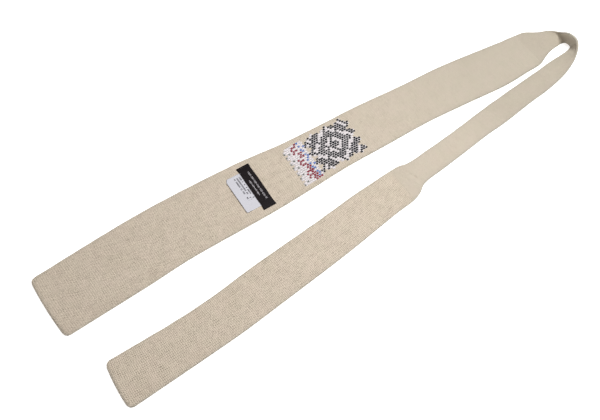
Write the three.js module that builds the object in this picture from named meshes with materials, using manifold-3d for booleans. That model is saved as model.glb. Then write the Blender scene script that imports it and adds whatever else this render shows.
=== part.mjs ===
// A square-ended knitted necktie, lying back side up and folded once at the neck.
// Millimetres, +Z up. The whole tie is one flat strip, described by its two edges: the inner edge
// faces the slot between the two runs, and the outer edge is the other one. The strip is cut at its
// linked joins into the knitted pieces, and each piece is one solid.
import * as THREE from 'three';
import { mergeVertices } from 'three/addons/utils/BufferGeometryUtils.js';
import Module from 'manifold-3d';

// ---- driving dimensions ----------------------------------------------------------------------
const knitThickness = 3.2; // a knitted tube pressed flat, so two layers
const cornerRadius = 6; // square ends with softened corners
const endLinkLength = 3.2; // the chain of linking loops that closes each end
const gap = 0.3; // between pieces that touch on the real tie
const originX = 348.2; // middle of the finished tie, measured from the front blade's end
const originY = -41.6;

// The flat runs lie on the ground, and the neck band stands up on its inner edge where it turns
// back. Each row is a place along the strip: inner edge x, y, outer edge x, y, and how far the
// outer edge stands above the inner one.
const stations = [
  [1.4, -39.6, -6, 40.2, 0],
  [103, -30.1, 101, 52.4, 0],
  [152, -24.7, 151, 56, 0],
  [258, -20.1, 258, 57.6, 0],
  [306, -16.3, 306, 54.9, 0],
  [361, -11.4, 361, 54.9, 0],
  [417, -9.3, 417, 55.9, 0],
  [475, -7, 475, 54.4, 0],
  [534, -8.5, 534, 54.4, 0],
  [591, -10.5, 590, 50.7, 0],
  [624, -8, 622, 48.2, 0],
  [647, -6, 647, 46.8, 0],
  [658, -1.2, 659.5, 45.4, 0],
  [668, 2.9, 671, 39.4, 0],
  [677.2, 5.2, 678.6, 34.8, 1],
  [684.2, 5.9, 684.8, 31.2, 3],
  [690.4, 6.7, 690, 24.6, 7],
  [695.4, 6.2, 691.4, 14.6, 14],
  [698, 2.8, 689.8, 5.2, 22.7],
  [698.4, -1.1, 688.8, -1.5, 26.8],
  [696.5, -3.8, 691.2, -8.8, 25],
  [691.4, -5.6, 690.6, -15.2, 21],
  [684, -7, 686.2, -21.8, 16],
  [674, -8.2, 680.8, -26.6, 11],
  [664, -8.9, 672.2, -31, 7],
  [654, -9.9, 662.6, -34.6, 3.5],
  [641, -11.9, 648.2, -38.3, 1],
  [622, -14.4, 626, -42.8, 0],
  [596.7, -17.7, 601.3, -46.3, 0],
  [542, -25.4, 554.5, -54.5, 0],
  [520, -29.1, 527, -57.8, 0],
  [487, -34.6, 491, -63.9, 0],
  [454, -39.1, 458, -69.3, 0],
  [421, -42.7, 423, -75.6, 0],
  [410, -40.9, 412.4, -82.8, 0],
  [400, -41.2, 401.5, -87.2, 0],
  [372, -44.1, 376.5, -91.2, 0],
  [346.6, -47, 353.4, -95.5, 0],
  [295.5, -54.7, 302.5, -105.3, 0],
  [200, -67.6, 207.5, -120.4, 0],
  [155.5, -75.1, 162.5, -127.2, 0],
  [111.5, -80.1, 118.5, -132.1, 0],
  [24.8, -84.6, 25.8, -141.4, 0],
];
const frontJoin = 11; // rows at which one knitted piece ends and the next starts
const neckFold = 19;
const backJoin = 29;
const tailJoin = 35;
const lastRow = stations.length - 1;
const bowShare = 0.18; // the standing band bulges away from the fold by this share of its rise
const endBow = 1.8; // each square end bulges this far in its middle
const endBowReach = 40;

// ---- colours ---------------------------------------------------------------------------------
const oatmeal = { color: 0xcdc0ab, roughness: 0.95, metalness: 0 };
const oatmealThread = { color: 0xb9ab95, roughness: 0.95, metalness: 0 };
const paleYarn = { color: 0xe6e1dc, roughness: 0.95, metalness: 0 };
const navyYarn = { color: 0x23252b, roughness: 0.95, metalness: 0 };
const redYarn = { color: 0xa3344a, roughness: 0.95, metalness: 0 };
const blueYarn = { color: 0x7c97c9, roughness: 0.95, metalness: 0 };
const greyYarn = { color: 0x8b8d8b, roughness: 0.95, metalness: 0 };
const blackRibbon = { color: 0x15131a, roughness: 0.6, metalness: 0 };
const whiteSatin = { color: 0xe2e2e8, roughness: 0.45, metalness: 0 };

const tie = new THREE.Group();
tie.position.set(-originX, -originY, 0);

function add(name, geometry, look, place = tie) {
  const mesh = new THREE.Mesh(geometry, new THREE.MeshStandardMaterial(look));
  mesh.name = name;
  place.add(mesh);
  return mesh;
}

// ---- the strip -------------------------------------------------------------------------------
const innerEdge = new THREE.CatmullRomCurve3(
  stations.map(([x, y]) => new THREE.Vector3(x, y, 0)),
);
const outerEdge = new THREE.CatmullRomCurve3(
  stations.map((row) => new THREE.Vector3(row[2], row[3], row[4])),
);

const middleAt = (t) => innerEdge.getPoint(t).add(outerEdge.getPoint(t)).multiplyScalar(0.5);
const lengthSteps = 4800;
const lengths = [0];
for (let i = 1; i <= lengthSteps; i += 1) {
  const step = middleAt(i / lengthSteps).distanceTo(middleAt((i - 1) / lengthSteps));
  lengths.push(lengths[i - 1] + step);
}
const tieLength = lengths[lengthSteps];

// How far along the tie's middle a row lies, from the front blade's end.
const distanceOf = (row) => lengths[Math.round((row / lastRow) * lengthSteps)];

function parameterAt(distance) {
  const after = lengths.findIndex((length) => length >= distance);
  if (after <= 0) return after < 0 ? 1 : 0;
  const share = (distance - lengths[after - 1]) / (lengths[after] - lengths[after - 1]);
  return (after - 1 + share) / lengthSteps;
}

const frontJoinAt = distanceOf(frontJoin);
const neckFoldAt = distanceOf(neckFold);
const backJoinAt = distanceOf(backJoin);
const tailJoinAt = distanceOf(tailJoin);

// How much each edge draws in at a square end, so that the corner is a quarter circle.
function cornerInset(distance) {
  const fromEnd = Math.min(distance, tieLength - distance);
  if (fromEnd >= cornerRadius) return 0;
  return cornerRadius - Math.sqrt(cornerRadius ** 2 - (cornerRadius - fromEnd) ** 2);
}

// The knit thins to a soft crease at each linked join, which is where the tie folds most easily.
const creaseHalf = 1; // from the join to the end face of the knitted piece
const creaseTaper = 5;
const creaseThickness = 0.8;
function thicknessAt(distance) {
  const joins = [frontJoinAt, backJoinAt, tailJoinAt];
  const nearest = Math.min(...joins.map((join) => Math.abs(join - distance)));
  const share = THREE.MathUtils.clamp((nearest - creaseHalf) / creaseTaper, 0, 1);
  return THREE.MathUtils.lerp(creaseThickness, knitThickness, share);
}

// A point of the strip's middle surface: across is in millimetres from the inner edge.
function strip(distance) {
  const t = parameterAt(distance);
  const inner = innerEdge.getPoint(t);
  const outer = outerEdge.getPoint(t);
  outer.z = Math.max(0, outer.z);
  const across = outer.clone().sub(inner);
  const width = across.length();
  const ahead = middleAt(Math.min(1, t + 1e-4));
  const heading = ahead.sub(middleAt(Math.max(0, t - 1e-4))).normalize();
  const up = heading.clone().cross(across).normalize();
  const lift = (knitThickness / 2) * Math.max(0, up.z);
  const bulge = new THREE.Vector3(-up.x, -up.y, 0).multiplyScalar(bowShare * across.z);
  const fromEnd = Math.min(distance, tieLength - distance);
  const endward = heading.clone().multiplyScalar(distance < tieLength / 2 ? -1 : 1);
  bulge.addScaledVector(endward, endBow * Math.max(0, 1 - fromEnd / endBowReach));
  const inset = cornerInset(distance);
  return {
    width: width - 2 * inset,
    up,
    point(fromInner) {
      const v = (fromInner + inset) / width;
      const place = inner.clone().addScaledVector(across, v);
      place.addScaledVector(bulge, 4 * v * (1 - v));
      place.z += lift;
      return place;
    },
  };
}

// The closed outline of the strip's section: along the back face, round the outer edge and back.
const acrossShares = [0.2, 0.4, 0.6, 0.8];
function sectionOf(distance) {
  const here = strip(distance);
  const half = thicknessAt(distance) / 2;
  const edge = [
    [0, 0],
    [0.3 * half, 0.71 * half],
    [half, half],
  ];
  const top = [
    ...edge,
    ...acrossShares.map((share) => [share * here.width, half]),
    ...edge.map(([d, h]) => [here.width - d, h]).reverse(),
  ];
  const raise = ([d, h], side) => here.point(d).addScaledVector(here.up, side * h);
  const back = top.map((corner) => raise(corner, 1));
  const face = top.slice(1, -1).reverse().map((corner) => raise(corner, -1));
  return [...back, ...face];
}

// A closed surface through a list of outlines that all have the same number of corners.
function loft(outlines) {
  const count = outlines[0].length;
  const positions = outlines.flat().flatMap((corner) => [corner.x, corner.y, corner.z]);
  const faces = [];
  for (let i = 1; i < outlines.length; i += 1) {
    for (let j = 0; j < count; j += 1) {
      const next = (j + 1) % count;
      const [a, b] = [(i - 1) * count + j, (i - 1) * count + next];
      const [c, d] = [i * count + j, i * count + next];
      faces.push(a, c, b, b, c, d);
    }
  }
  const half = count / 2;
  const cap = (first, flip) => {
    const close = (a, b, c) => faces.push(...(flip ? [a, b, c] : [a, c, b]));
    close(first, first + count - 1, first + 1);
    for (let j = 1; j < half - 1; j += 1) {
      const [a, b] = [first + j, first + j + 1];
      const [c, d] = [first + count - j, first + count - j - 1];
      close(a, c, b);
      close(b, c, d);
    }
    close(first + half - 1, first + half + 1, first + half);
  };
  cap(0, false);
  cap((outlines.length - 1) * count, true);
  const geometry = new THREE.BufferGeometry();
  geometry.setAttribute('position', new THREE.Float32BufferAttribute(positions, 3));
  geometry.setIndex(faces);
  geometry.computeVertexNormals();
  return geometry;
}

const spread = (from, to, count) =>
  Array.from({ length: count + 1 }, (_, i) => THREE.MathUtils.lerp(from, to, i / count));

// A knitted piece from one distance to another, with closer sections where the knit thins.
function knitted(from, to, step, taperAtStart, taperAtEnd) {
  const start = taperAtStart ? from + creaseTaper : from;
  const end = taperAtEnd ? to - creaseTaper : to;
  const places = spread(start, end, Math.max(2, Math.round((end - start) / step)));
  if (taperAtStart) places.unshift(from);
  if (taperAtEnd) places.push(to);
  return loft(places.map(sectionOf));
}

// The linking at a square end, from the very end of the tie inwards, with quarter-round corners.
function endLinking(isTail) {
  const places = spread(0, Math.acos(1 - endLinkLength / cornerRadius), 4).map(
    (angle) => cornerRadius * (1 - Math.cos(angle)),
  );
  const distances = places.map((place) => (isTail ? tieLength - place : place));
  if (isTail) distances.reverse();
  return loft(distances.map(sectionOf));
}

// The first stretch of a blade still has the corner's curve, so it is cut finely there.
function bladeSections(from, to, step, cornerFirst) {
  const near = [0, 0.3, 0.6, 1].map((share) => share * (cornerRadius - endLinkLength - gap));
  const corner = near.map((place) => (cornerFirst ? from + place : to - place));
  const run = Math.round((to - from - cornerRadius) / step);
  if (cornerFirst) {
    return [...corner, ...spread(corner[3], to - creaseTaper, run).slice(1), to];
  }
  return [from, ...spread(from + creaseTaper, corner[3], run).slice(0, -1), ...corner.reverse()];
}

// A thread of linking loops laid along a join, in the crease between the two pieces.
const linkRadius = 0.4;
const linkInset = 2;
function joinLinking(distance) {
  const here = strip(distance);
  const path = new THREE.LineCurve3(here.point(linkInset), here.point(here.width - linkInset));
  const section = new THREE.Shape();
  section.absarc(0, 0, linkRadius, 0, 2 * Math.PI);
  const options = { steps: 1, extrudePath: path, curveSegments: 8 };
  return new THREE.ExtrudeGeometry(section, options);
}

// ---- cutting with manifold-3d ----------------------------------------------------------------
const wasm = await Module();
wasm.setup();

function solidOf(geometry) {
  const bare = geometry.clone();
  bare.deleteAttribute('normal');
  bare.deleteAttribute('uv');
  const merged = mergeVertices(bare, 1e-3);
  return new wasm.Manifold(
    new wasm.Mesh({
      numProp: 3,
      vertProperties: Float32Array.from(merged.attributes.position.array),
      triVerts: Uint32Array.from(merged.index.array),
    }),
  );
}

function geometryOf(solid) {
  const { vertProperties, triVerts } = solid.getMesh();
  const geometry = new THREE.BufferGeometry();
  geometry.setAttribute('position', new THREE.BufferAttribute(vertProperties, 3));
  geometry.setIndex(new THREE.BufferAttribute(triVerts, 1));
  geometry.computeVertexNormals();
  return geometry;
}

// ---- the motif's yarns -----------------------------------------------------------------------
// Yarns of other colours are knitted into the back layer of the front blade: two zigzag rows and a
// stippled one on a pale band, then a dark lozenge panel. They lie in a shallow recess.
const stitch = 2; // one stitch of the motif
const motifY = 19.8; // middle of the motif, across the blade
const bandX = [304, 332];
const bandHalf = 14 * stitch;
const panelX = [333, 393];
const panelHalf = 14 * stitch;
const panelSteps = 5; // each corner of the panel is cut by this many stitches, in a staircase
const recessFloor = 1.7;
const yarnThickness = 0.4;
const groundZ = recessFloor + gap;
const yarnZ = groundZ + yarnThickness + gap;

// The motif's outline from its left side, with its two far corners cut in a staircase; grow widens
// it all round.
function panelOutline(leftSide, grow = 0) {
  const shape = new THREE.Shape();
  const [left, right] = [leftSide - grow, panelX[1] + grow];
  const half = panelHalf + grow;
  shape.moveTo(left, motifY - bandHalf - grow);
  shape.lineTo(right - panelSteps * stitch, motifY - half);
  for (let i = 0; i < panelSteps; i += 1) {
    const x = right - (panelSteps - i) * stitch;
    shape.lineTo(x, motifY - half + (i + 1) * stitch);
    shape.lineTo(x + stitch, motifY - half + (i + 1) * stitch);
  }
  for (let i = panelSteps; i > 0; i -= 1) {
    const x = right - (panelSteps - i) * stitch;
    shape.lineTo(x, motifY + half - i * stitch);
    shape.lineTo(x - stitch, motifY + half - i * stitch);
  }
  shape.lineTo(right - panelSteps * stitch, motifY + half);
  shape.lineTo(left, motifY + bandHalf + grow);
  shape.closePath();
  return shape;
}

function flatPlate(shape, z, thickness) {
  const options = { depth: thickness, bevelEnabled: false, curveSegments: 6 };
  return new THREE.ExtrudeGeometry(shape, options).translate(0, 0, z);
}

// A zigzag row across the blade, as one ribbon of yarn with sharp turns.
function zigzagRow(x, reach, width, teeth) {
  const shape = new THREE.Shape();
  const half = bandHalf - stitch;
  const turns = spread(-half, half, teeth);
  const side = (i) => x + (i % 2 ? reach / 2 : -reach / 2);
  turns.forEach((y, i) => {
    if (i === 0) shape.moveTo(side(i), motifY + y);
    else shape.lineTo(side(i), motifY + y);
  });
  for (let i = teeth; i >= 0; i -= 1) shape.lineTo(side(i) + width, motifY + turns[i]);
  shape.closePath();
  return flatPlate(shape, yarnZ, yarnThickness);
}

// The dark panel: a staircase outline with four long slots that leave a lozenge in its middle.
function navyPanel() {
  const middle = (panelX[0] + panelX[1]) / 2;
  const [reachX, reachY, slot, web] = [22, 20, 3, 3];
  let panel = solidOf(flatPlate(panelOutline(panelX[0], -stitch / 2), yarnZ, yarnThickness));
  [[1, 1], [-1, 1], [-1, -1], [1, -1]].forEach(([sx, sy]) => {
    const side = new THREE.Shape();
    const corner = (x, y) => [middle + sx * x, motifY + sy * y];
    side.moveTo(...corner(web, reachY));
    side.lineTo(...corner(web + slot, reachY));
    side.lineTo(...corner(reachX, web + slot));
    side.lineTo(...corner(reachX, web));
    side.lineTo(...corner(reachX - slot, web));
    side.lineTo(...corner(web, reachY - slot));
    side.closePath();
    panel = panel.subtract(solidOf(flatPlate(side, yarnZ - gap, knitThickness)));
  });
  return geometryOf(panel);
}

// ---- the labels ------------------------------------------------------------------------------
// The woven label lies across the blade and is sewn down at its two short ends, so that the tail
// can be tucked through it. Its ends are folded under. A satin care label hangs from one long side.
const labelLength = 62.4;
const labelWidth = 15.3;
const labelThickness = 0.45;
const labelFold = 4; // length of ribbon turned under at each end
const labelPlace = new THREE.Group();
labelPlace.position.set(256.6, 18.4, knitThickness + gap);
labelPlace.rotation.z = THREE.MathUtils.degToRad(1.8);
tie.add(labelPlace);

function wovenLabel() {
  const half = labelLength / 2;
  const side = new THREE.Shape();
  side.moveTo(-half, 0);
  side.lineTo(-half + labelFold, 0);
  side.lineTo(-half + labelFold, labelThickness);
  side.lineTo(half - labelFold, labelThickness);
  side.lineTo(half - labelFold, 0);
  side.lineTo(half, 0);
  side.lineTo(half, 2 * labelThickness);
  side.lineTo(-half, 2 * labelThickness);
  side.closePath();
  const geometry = new THREE.ExtrudeGeometry(side, { depth: labelWidth, bevelEnabled: false });
  geometry.rotateX(Math.PI / 2);
  geometry.rotateZ(Math.PI / 2);
  return geometry.translate(-labelWidth / 2, 0, 0);
}

const tackWidth = 1.4;
const tackInset = 2;
function labelTack() {
  const half = labelWidth / 2 - 1;
  const bar = new THREE.Shape();
  bar.absarc(half - tackWidth / 2, 0, tackWidth / 2, -Math.PI / 2, Math.PI / 2);
  bar.absarc(-half + tackWidth / 2, 0, tackWidth / 2, Math.PI / 2, 1.5 * Math.PI);
  bar.closePath();
  return flatPlate(bar, 2 * labelThickness + gap, yarnThickness);
}

const careLength = 50;
const careReach = 18.3; // from the woven label's side to the free edge
const careBevel = 4;
const careThickness = 0.3;
function careLabel() {
  const right = -labelWidth / 2 - gap;
  const left = right - careReach;
  const half = careLength / 2;
  const sheet = new THREE.Shape();
  sheet.moveTo(right, -half);
  sheet.lineTo(right, half);
  sheet.lineTo(left + 2, half);
  sheet.lineTo(left, half - careBevel);
  sheet.lineTo(left, -half + 1);
  sheet.lineTo(left + 1, -half);
  sheet.closePath();
  return flatPlate(sheet, 0, careThickness);
}

// ---- the assembly ----------------------------------------------------------------------------
const bladeStart = endLinkLength + gap;
const bladeEnd = frontJoinAt - creaseHalf;
const blade = loft(bladeSections(bladeStart, bladeEnd, 18, true).map(sectionOf));
const recess = flatPlate(panelOutline(bandX[0], gap), recessFloor, knitThickness);
add('front_blade', geometryOf(solidOf(blade).subtract(solidOf(recess))), oatmeal);
add('front_end_linking', endLinking(false), oatmealThread);
add('front_join_linking', joinLinking(frontJoinAt), oatmealThread);

const foldHalf = 0.4;
const neckFront = knitted(frontJoinAt + creaseHalf, neckFoldAt - foldHalf, 3, true, false);
const neckBack = knitted(neckFoldAt + foldHalf, backJoinAt - creaseHalf, 5, false, true);
add('neck_band_front_side', neckFront, oatmeal);
add('neck_band_tail_side', neckBack, oatmeal);
add('back_join_linking', joinLinking(backJoinAt), oatmealThread);
const neckTail = knitted(backJoinAt + creaseHalf, tailJoinAt - creaseHalf, 11, true, true);
add('neck_band_lower', neckTail, oatmeal);
add('tail_join_linking', joinLinking(tailJoinAt), oatmealThread);

const tailStart = tailJoinAt + creaseHalf;
const tailSections = bladeSections(tailStart, tieLength - bladeStart, 22, false);
add('tail_blade', loft(tailSections.map(sectionOf)), oatmeal);
add('tail_end_linking', endLinking(true), oatmealThread);

add('motif_ground_yarn', flatPlate(panelOutline(bandX[0]), groundZ, yarnThickness), paleYarn);
add('motif_grey_yarn', zigzagRow(bandX[0] + 3, 1.5, 1.2, 14), greyYarn);
add('motif_red_yarn', zigzagRow(bandX[0] + 12, 4, 5, 8), redYarn);
add('motif_blue_yarn', zigzagRow(bandX[0] + 23, 3, 1.8, 10), blueYarn);
add('motif_navy_yarn', navyPanel(), navyYarn);

add('woven_label', wovenLabel(), blackRibbon, labelPlace);
[['label_tack_outer', 1], ['label_tack_inner', -1]].forEach(([name, side]) => {
  const tack = add(name, labelTack(), blackRibbon, labelPlace);
  tack.position.y = side * (labelLength / 2 - tackInset);
});
add('care_label', careLabel(), whiteSatin, labelPlace);

export default tie;
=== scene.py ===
"""A square-ended knitted necktie, lying back side up and folded once at the neck."""

import math

import bpy
import numpy as np
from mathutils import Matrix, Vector


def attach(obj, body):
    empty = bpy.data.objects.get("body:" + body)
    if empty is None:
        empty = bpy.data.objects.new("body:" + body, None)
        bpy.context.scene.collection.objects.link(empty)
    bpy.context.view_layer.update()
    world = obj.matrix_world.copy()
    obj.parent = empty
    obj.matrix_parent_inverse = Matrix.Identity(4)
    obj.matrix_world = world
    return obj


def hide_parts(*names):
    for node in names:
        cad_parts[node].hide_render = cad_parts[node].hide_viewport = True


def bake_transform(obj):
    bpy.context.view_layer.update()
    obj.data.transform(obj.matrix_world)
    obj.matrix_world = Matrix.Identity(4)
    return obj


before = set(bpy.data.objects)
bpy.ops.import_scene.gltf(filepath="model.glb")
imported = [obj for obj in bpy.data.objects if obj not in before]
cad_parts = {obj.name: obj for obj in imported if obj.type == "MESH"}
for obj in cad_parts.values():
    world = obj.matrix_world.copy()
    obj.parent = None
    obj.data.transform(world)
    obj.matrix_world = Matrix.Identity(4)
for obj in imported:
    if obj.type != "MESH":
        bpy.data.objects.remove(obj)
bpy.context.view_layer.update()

MM = 0.001
PI = math.pi
rng = np.random.default_rng(7)

# ---- the strip -------------------------------------------------------------------------------
# Millimetres from the front blade's end. Each row is a place along the tie: inner edge x, y, outer
# edge x, y, and how far the outer edge stands above the inner one where the neck band turns back.
STATIONS = np.array([
    [1.4, -39.6, -6, 40.2, 0],
    [103, -30.1, 101, 52.4, 0],
    [152, -24.7, 151, 56, 0],
    [258, -20.1, 258, 57.6, 0],
    [306, -16.3, 306, 54.9, 0],
    [361, -11.4, 361, 54.9, 0],
    [417, -9.3, 417, 55.9, 0],
    [475, -7, 475, 54.4, 0],
    [534, -8.5, 534, 54.4, 0],
    [591, -10.5, 590, 50.7, 0],
    [624, -8, 622, 48.2, 0],
    [647, -6, 647, 46.8, 0],
    [658, -1.2, 659.5, 45.4, 0],
    [668, 2.9, 671, 39.4, 0],
    [677.2, 5.2, 678.6, 34.8, 1],
    [684.2, 5.9, 684.8, 31.2, 3],
    [690.4, 6.7, 690, 24.6, 7],
    [695.4, 6.2, 691.4, 14.6, 14],
    [698, 2.8, 689.8, 5.2, 22.7],
    [698.4, -1.1, 688.8, -1.5, 26.8],
    [696.5, -3.8, 691.2, -8.8, 25],
    [691.4, -5.6, 690.6, -15.2, 21],
    [684, -7, 686.2, -21.8, 16],
    [674, -8.2, 680.8, -26.6, 11],
    [664, -8.9, 672.2, -31, 7],
    [654, -9.9, 662.6, -34.6, 3.5],
    [641, -11.9, 648.2, -38.3, 1],
    [622, -14.4, 626, -42.8, 0],
    [596.7, -17.7, 601.3, -46.3, 0],
    [542, -25.4, 554.5, -54.5, 0],
    [520, -29.1, 527, -57.8, 0],
    [487, -34.6, 491, -63.9, 0],
    [454, -39.1, 458, -69.3, 0],
    [421, -42.7, 423, -75.6, 0],
    [410, -40.9, 412.4, -82.8, 0],
    [400, -41.2, 401.5, -87.2, 0],
    [372, -44.1, 376.5, -91.2, 0],
    [346.6, -47, 353.4, -95.5, 0],
    [295.5, -54.7, 302.5, -105.3, 0],
    [200, -67.6, 207.5, -120.4, 0],
    [155.5, -75.1, 162.5, -127.2, 0],
    [111.5, -80.1, 118.5, -132.1, 0],
    [24.8, -84.6, 25.8, -141.4, 0],
])
FRONT_JOIN, BACK_JOIN, TAIL_JOIN = 11, 29, 35
ORIGIN = np.array([348.2, -41.6, 0.0])
THICKNESS = 3.1
CORNER_RADIUS = 6.0
ABOVE_FLOOR = 0.02
END_BOW, END_BOW_REACH = 1.8, 40.0
BOW_SHARE = 0.18


def catmull_rom(points, t):
    """A centripetal Catmull-Rom curve through points, at shares t of the way along its rows."""
    rows = len(points) - 1
    ends = [2 * points[0] - points[1]], [2 * points[-1] - points[-2]]
    p = np.vstack([ends[0], points, ends[1]])
    place = np.clip(t, 0, 1) * rows
    i = np.minimum(place.astype(int), rows - 1)
    u = (place - i)[:, None]
    a, b, c, d = p[i], p[i + 1], p[i + 2], p[i + 3]
    ab, bc, cd = (
        np.sqrt(np.linalg.norm(y - x, axis=1, keepdims=True))
        for x, y in ((a, b), (b, c), (c, d))
    )
    start = ((b - a) / ab - (c - a) / (ab + bc) + (c - b) / bc) * bc
    stop = ((c - b) / bc - (d - b) / (bc + cd) + (d - c) / cd) * bc
    bend = 3 * (c - b) - 2 * start - stop
    turn = 2 * (b - c) + start + stop
    return b + start * u + bend * u**2 + turn * u**3


fine = np.linspace(0, 1, 8001)
inner_fine = catmull_rom(np.c_[STATIONS[:, :2], np.zeros(len(STATIONS))], fine)
outer_fine = catmull_rom(STATIONS[:, 2:], fine)
outer_fine[:, 2] = np.maximum(outer_fine[:, 2], 0)
middle_fine = (inner_fine + outer_fine) / 2
steps = np.linalg.norm(np.diff(middle_fine, axis=0), axis=1)
length_fine = np.r_[0, np.cumsum(steps)]
TIE_LENGTH = length_fine[-1]


def distance_of(row):
    """How far along the tie's middle a row lies."""
    return float(np.interp(row / (len(STATIONS) - 1), fine, length_fine))


front_join, back_join, tail_join = (
    distance_of(row) for row in (FRONT_JOIN, BACK_JOIN, TAIL_JOIN)
)


def along(values, s):
    return np.stack([np.interp(s, length_fine, values[:, k]) for k in range(3)], -1)


def unit(v):
    return v / np.linalg.norm(v, axis=-1, keepdims=True)


def corner_inset(s):
    """How much each edge draws in near a square end."""
    from_end = np.clip(np.minimum(s, TIE_LENGTH - s), 0, CORNER_RADIUS)
    return CORNER_RADIUS - np.sqrt(CORNER_RADIUS**2 - (CORNER_RADIUS - from_end) ** 2)


class Place:
    """The strip's middle surface at the distances s, each with its own width and directions."""

    def __init__(self, s):
        self.s = np.atleast_1d(np.asarray(s, float))
        s = self.s
        self.inner = along(inner_fine, s)
        self.across = along(outer_fine, s) - self.inner
        full = np.linalg.norm(self.across, axis=1)
        ahead = along(middle_fine, s + 0.4) - along(middle_fine, s - 0.4)
        self.heading = unit(ahead)
        self.up = unit(np.cross(self.heading, self.across))
        self.inset = corner_inset(s)
        self.full = full
        self.width = full - 2 * self.inset
        flat_up = self.up * [1, 1, 0]
        bulge = -flat_up * (BOW_SHARE * self.across[:, 2])[:, None]
        from_end = np.minimum(s, TIE_LENGTH - s)
        bow = END_BOW * np.maximum(0, 1 - from_end / END_BOW_REACH)
        sign = np.where(s < TIE_LENGTH / 2, -1, 1)
        self.bulge = bulge + self.heading * (bow * sign)[:, None]
        self.lift = THICKNESS / 2 * np.maximum(0, self.up[:, 2]) + 0.03

    def point(self, d, h):
        """Points d across from the inner edge and h above the middle, one row for each s."""
        v = (d + self.inset[:, None]) / self.full[:, None]
        place = self.inner[:, None] + self.across[:, None] * v[..., None]
        place = place + self.bulge[:, None] * (4 * v * (1 - v))[..., None]
        place[..., 2] += self.lift[:, None]
        return place + self.up[:, None] * h[..., None]


def thickness_at(s):
    """The knit's thickness, with a shallow groove at each linked join and round square ends."""
    t = np.full_like(s, THICKNESS)
    for join in (front_join, back_join, tail_join):
        t -= 0.06 * np.exp(-(((s - join) / 1.2) ** 2))
    from_end = np.clip(np.minimum(s, TIE_LENGTH - s) / 1.7, 0.02, 1)
    return t * np.sqrt(1 - (1 - from_end) ** 2)


# ---- mesh helpers ----------------------------------------------------------------------------
def mesh_object(name, vertices, faces, material, uv=None, flat_faces=0, edge=None):
    """A mesh from points in millimetres of the strip; the last flat_faces faces aren't smoothed.

    edge is each point's closeness to the strip's edges and ends, from 0 to 1, which the knit's
    material uses for painted shade.
    """
    mesh = bpy.data.meshes.new(name)
    vertices = np.column_stack([vertices[:, :2], np.maximum(vertices[:, 2], ABOVE_FLOOR)])
    mesh.from_pydata(((vertices - ORIGIN) * MM).tolist(), [], faces)
    smooth = np.ones(len(faces), bool)
    if flat_faces:
        smooth[-flat_faces:] = False
    mesh.polygons.foreach_set("use_smooth", smooth)
    if uv is not None:
        layer = mesh.uv_layers.new(name="knit")
        layer.data.foreach_set("uv", (uv * MM).astype(np.float32).ravel())
    if edge is not None:
        closeness = mesh.attributes.new("edge", "FLOAT", "POINT")
        closeness.data.foreach_set("value", edge.astype(np.float32).ravel())
    mesh.materials.append(material)
    mesh.validate()
    mesh.update()
    thing = bpy.data.objects.new(name, mesh)
    bpy.context.scene.collection.objects.link(thing)
    return thing


def grid_faces(rows, columns, closed):
    """Quads of a rows by columns grid of points; closed joins the last column to the first."""
    r, c = np.meshgrid(
        np.arange(rows - 1), np.arange(columns if closed else columns - 1), indexing="ij"
    )
    n = (c + 1) % columns
    quads = [r * columns + c, r * columns + n, (r + 1) * columns + n, (r + 1) * columns + c]
    return np.stack(quads, -1).reshape(-1, 4)


def soft_noise(x, y, scale, seed):
    """Smooth noise from -1 to 1 out of a few turned sine waves."""
    local = np.random.default_rng(seed)
    total = 0
    for _ in range(7):
        angle, phase = local.uniform(0, 2 * PI, 2)
        stretch = local.uniform(0.6, 1.7)
        cycles = (x * math.cos(angle) + y * math.sin(angle)) * stretch / scale
        total = total + np.sin(2 * PI * cycles + phase)
    return total / 3.2


# ---- knitted pieces --------------------------------------------------------------------------
EDGE_ANGLES = np.radians([67.5, 45, 22.5, 0, -22.5, -45, -67.5])


def dents(points):
    """How far the back surface is pressed in or puckered at each point."""
    total = np.zeros(points.shape[:-1])
    for start, end, depth, reach in PUCKERS:
        a, b = np.array(start, float), np.array(end, float)
        share = np.clip(((points - a) @ (b - a)) / ((b - a) @ (b - a)), 0, 1)
        gap = np.linalg.norm(points - (a + share[..., None] * (b - a)), axis=-1)
        fade = np.sin(PI * np.clip(share, 0.08, 0.92))
        total += depth * fade * np.exp(-((gap / reach) ** 2))
    return total


# start, end, height (down is below 0) and reach of each pucker or crease in the back surface
PUCKERS = [
    ((409, -46, 3), (417, -58, 3), -0.6, 1.5),
    ((414, -54, 3), (421, -69, 3), -0.7, 1.6),
    ((404, -52, 3), (411, -66, 3), -0.45, 1.5),
    ((411, -60, 3), (418, -74, 3), 0.45, 1.6),
    ((418, -62, 3), (419.5, -64, 3), -1.1, 1.2),
    ((423, -48, 3), (437, -53, 3), 0.2, 1.8),
    ((538, -30, 3), (553, -47, 3), 0.28, 1.1),
    ((651, -29, 3.5), (671, -26, 7), 0.45, 1.2),
    ((646, -34, 3), (669, -31, 8), 0.35, 1.2),
    ((656, -24, 3), (676, -22, 7.5), -0.35, 1.5),
    ((660, 20, 3), (667, 22, 3), -0.4, 2.2),
    ((631, 9, 3), (635, 12, 3), 0.3, 1.4),
    ((688, 10, 3), (697, 3, 4), -1.6, 3.0),
]


def swell(points):
    """How far the back surface stands off its even height at each point, all along the strip."""
    slow = soft_noise(points[..., 0], points[..., 1], 34, 3)
    quick = soft_noise(points[..., 0], points[..., 1], 9, 5)
    return 0.1 * slow + 0.035 * quick + dents(points)


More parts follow.
